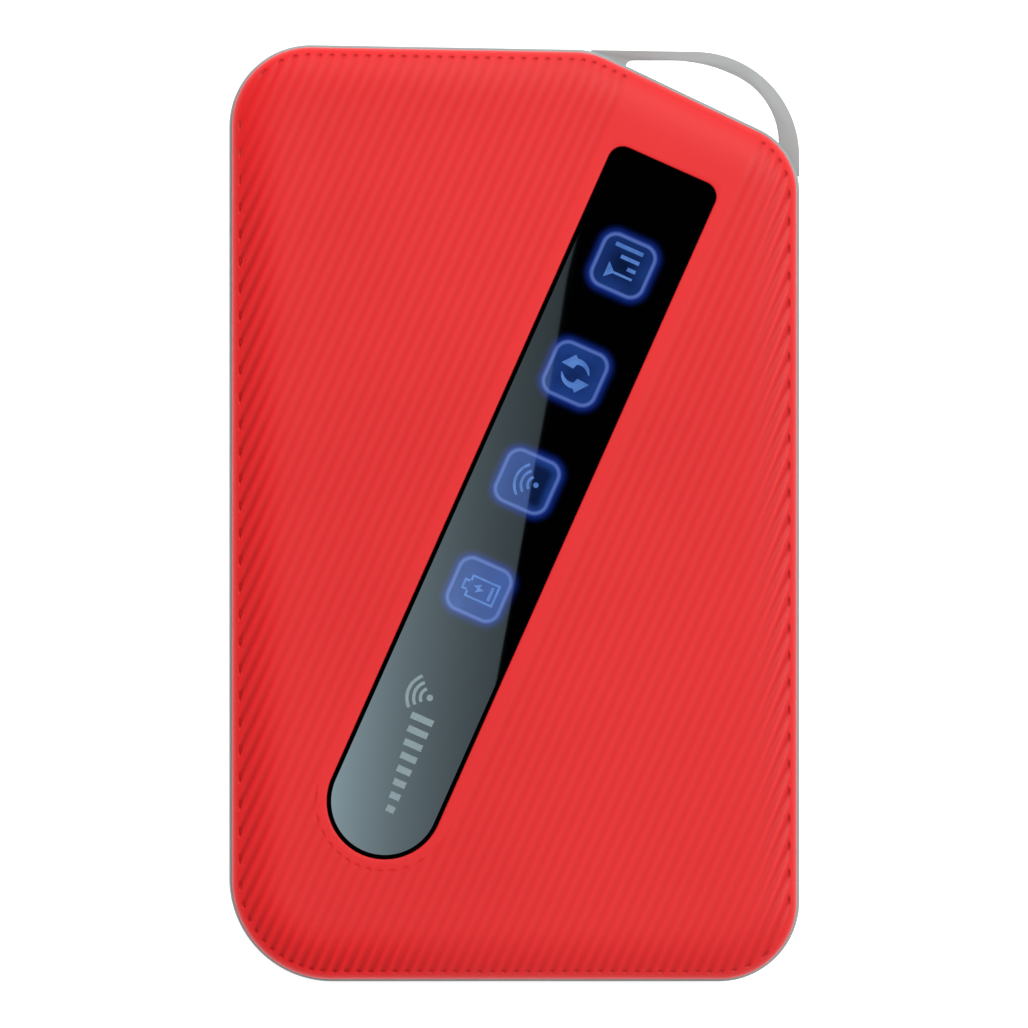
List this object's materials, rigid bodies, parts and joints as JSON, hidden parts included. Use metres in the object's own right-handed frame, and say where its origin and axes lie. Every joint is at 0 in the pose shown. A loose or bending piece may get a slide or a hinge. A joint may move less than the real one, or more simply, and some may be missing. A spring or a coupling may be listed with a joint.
{
  "type": "mobile hotspot",
  "caption": "Mobile hotspot: flat rounded case with a ribbed front cover, a slanted glossy light strip, a cut-off corner closed by a lanyard loop, and a lift-off rear cover over a battery.",
  "frame": {"origin": "middle of the rear face, which lies on the surface", "axes": "+X to the right of the front, +Y to the top end where the loop is, +Z out of the front"},
  "size_m": [0.0636, 0.1042, 0.0146],
  "materials": {
    "red_shell": "soft satin moulding with raised ribs",
    "black_lens": "polished acrylic over black ink",
    "black_adhesive": "foam tape",
    "icon_film": "printed film, lit from behind",
    "milky_plastic": "milky light spreader",
    "white_plastic": "moulded white",
    "led_package": "small white package",
    "grey_frame": "satin grey paint",
    "black_plastic": "fine spark texture",
    "circuit_board": "solder mask over glass fibre",
    "chip_black": "moulded epoxy",
    "tinned_can": "tinned sheet",
    "soft_pad": "soft silicone",
    "coil_grey": "pressed ferrite",
    "plated_steel": "nickel plate",
    "grey_button": "satin grey paint",
    "switch_metal": "stamped cover",
    "red_plunger": "moulded red",
    "copper_foil": "plated copper foil",
    "gold_contact": "gold plate",
    "card_plastic": "card stock plastic",
    "battery_can": "drawn can in a thin sleeve",
    "battery_label": "plain dark label",
    "grey_shell": "fine matte moulding",
    "screw_steel": "zinc plate"
  },
  "bodies": {
    "case": {"front_cover": "red_shell", "display_lens": "black_lens", "lens_adhesive": "black_adhesive", "icon_film": "icon_film", "light_diffuser": "milky_plastic", "light_shroud": "white_plastic", "indicator_leds": "led_package", "mid_frame": "grey_frame", "lanyard_loop": "grey_frame", "inner_chassis": "black_plastic", "main_board": "circuit_board", "modem_chip": "chip_black", "modem_shield": "tinned_can", "rf_chip": "chip_black", "rf_shield": "tinned_can", "wifi_chip": "chip_black", "wifi_shield": "tinned_can", "thermal_pad": "soft_pad", "power_inductors": "coil_grey", "usb_port": "plated_steel", "usb_tongue": "black_plastic", "power_switch": "switch_metal", "pairing_switch": "switch_metal", "reset_switch": "switch_metal", "main_antenna": "copper_foil", "diversity_antenna": "copper_foil", "wifi_antenna": "copper_foil", "battery_connector": "black_plastic", "battery_springs": "gold_contact", "sim_socket": "tinned_can", "case_screws": "screw_steel"},
    "power_key": {"power_button": "grey_button", "power_plunger": "white_plastic"},
    "pairing_key": {"pairing_button": "grey_button", "pairing_plunger": "white_plastic"},
    "reset_key": {"reset_plunger": "red_plunger"},
    "battery": {"battery_pack": "battery_can", "battery_pads": "gold_contact", "battery_label": "battery_label"},
    "sim": {"sim_card": "card_plastic"},
    "cover": {"rear_cover": "grey_shell"}
  },
  "joints": [
    {"name": "cover_lift", "type": "slide", "parent": "case", "child": "cover", "axis": [0, 0, -1], "range_m": [0, 0.03]},
    {"name": "battery_lift", "type": "slide", "parent": "case", "child": "battery", "axis": [0, 0, -1], "range_m": [0, 0.015]},
    {"name": "sim_slide", "type": "slide", "parent": "case", "child": "sim", "axis": [1, 0, 0], "range_m": [0, 0.01]},
    {"name": "power_press", "type": "slide", "parent": "case", "child": "power_key", "axis": [1, 0, 0], "range_m": [0, 0.0003], "stiffness_N_per_m": 4000, "springref_m": -0.0001},
    {"name": "pairing_press", "type": "slide", "parent": "case", "child": "pairing_key", "axis": [1, 0, 0], "range_m": [0, 0.0003], "stiffness_N_per_m": 4000, "springref_m": -0.0001},
    {"name": "reset_press", "type": "slide", "parent": "case", "child": "reset_key", "axis": [0, 0, 1], "range_m": [0, 0.00025], "stiffness_N_per_m": 4000, "springref_m": -0.0001}
  ],
  "couplings": [
    {"joint": "battery_lift", "follows": "cover_lift", "ratio": 0.5}
  ]
}
